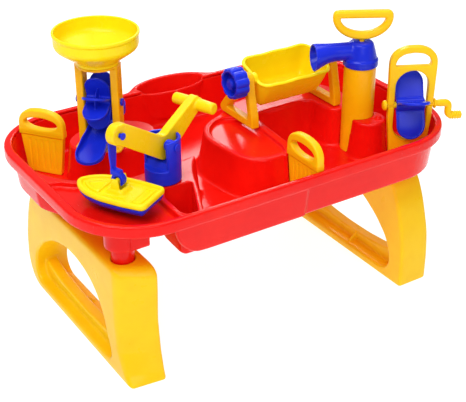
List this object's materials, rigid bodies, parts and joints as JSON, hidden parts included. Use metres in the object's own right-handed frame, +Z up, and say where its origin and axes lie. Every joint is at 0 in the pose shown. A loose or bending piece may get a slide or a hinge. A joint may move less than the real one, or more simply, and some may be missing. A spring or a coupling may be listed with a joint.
{
  "type": "sand and water table",
  "caption": "Moulded sand and water play table on two arched legs, with mill, crane and boat, tipping bucket, pump, crank wheel and sluice gates.",
  "frame": {"origin": "on the ground, under the centre of the whole table's box", "axes": "+X runs along the tray from the mill end to the pump end, +Y from the near side to the cup side, +Z up"},
  "size_m": [0.6672, 0.446, 0.46],
  "materials": {
    "tray_red": "glossy moulded plastic, bright red",
    "leg_yellow": "satin moulded plastic, golden yellow",
    "deep_yellow": "satin moulded plastic, orange yellow",
    "lemon_yellow": "glossy moulded plastic, lemon yellow",
    "royal_blue": "glossy moulded plastic, royal blue",
    "seal_rubber": "soft black rubber"
  },
  "bodies": {
    "table": {"tub": "tray_red", "leg_left": "leg_yellow", "leg_right": "leg_yellow", "mill_frame": "deep_yellow", "mill_funnel": "lemon_yellow", "mill_chute": "royal_blue", "tipper_bracket_left": "deep_yellow", "tipper_bracket_right": "deep_yellow", "pump_barrel": "deep_yellow", "pump_head": "royal_blue", "wheel_frame": "leg_yellow"},
    "mill_rotor": {"mill_wheel": "royal_blue", "mill_axle": "royal_blue"},
    "crane_body": {"crane_post": "royal_blue", "crane_pivot_pin": "royal_blue"},
    "jib": {"crane_jib": "lemon_yellow", "crane_hook_pin": "royal_blue"},
    "hook_and_boat": {"crane_hook": "royal_blue", "boat_deck": "lemon_yellow", "boat_hull": "royal_blue"},
    "bucket": {"tipping_bucket": "lemon_yellow", "tipper_knob": "royal_blue"},
    "plunger": {"pump_rod": "leg_yellow", "pump_handle": "leg_yellow", "pump_piston": "royal_blue", "pump_seal": "seal_rubber"},
    "foot_valve": {"pump_foot_valve": "seal_rubber"},
    "hand_wheel": {"paddle_wheel": "royal_blue", "crank": "leg_yellow", "crank_end_cap": "leg_yellow"},
    "gate_right_body": {"gate_right": "leg_yellow"},
    "gate_left_body": {"gate_left": "leg_yellow"}
  },
  "joints": [
    {"name": "crane_slew", "type": "hinge", "parent": "table", "child": "crane_body", "pos_m": [-0.17263, -0.103, 0.29], "axis": [0, 0, 1], "range_deg": [-20, 140]},
    {"name": "jib_pivot", "type": "hinge", "parent": "crane_body", "child": "jib", "pos_m": [-0.17263, -0.103, 0.333], "axis": [-0.358, 0.9337, 0], "range_deg": [0, 25]},
    {"name": "hook_swing", "type": "hinge", "parent": "jib", "child": "hook_and_boat", "pos_m": [-0.25947, -0.13629, 0.383], "axis": [-0.358, 0.9337, 0], "range_deg": [-10, 10]},
    {"name": "mill_spin", "type": "hinge", "parent": "table", "child": "mill_rotor", "pos_m": [-0.19563, 0.043, 0.35], "axis": [0.7071, -0.7071, 0], "continuous": true},
    {"name": "bucket_tip", "type": "hinge", "parent": "table", "child": "bucket", "pos_m": [0.11137, -0.013, 0.35], "axis": [1, 0, 0], "range_deg": [-5, 60]},
    {"name": "pump_stroke", "type": "slide", "parent": "table", "child": "plunger", "axis": [0, 0, 1], "range_m": [0, 0.09]},
    {"name": "foot_valve_lift", "type": "slide", "parent": "table", "child": "foot_valve", "axis": [0, 0, 1], "range_m": [0, 0.003]},
    {"name": "crank_spin", "type": "hinge", "parent": "table", "child": "hand_wheel", "pos_m": [0.25487, -0.143, 0.303], "axis": [0.894, -0.448, 0], "continuous": true},
    {"name": "gate_right_lift", "type": "slide", "parent": "table", "child": "gate_right_body", "axis": [0, 0, 1], "range_m": [0, 0.11]},
    {"name": "gate_left_lift", "type": "slide", "parent": "table", "child": "gate_left_body", "axis": [0, 0, 1], "range_m": [0, 0.11]}
  ]
}
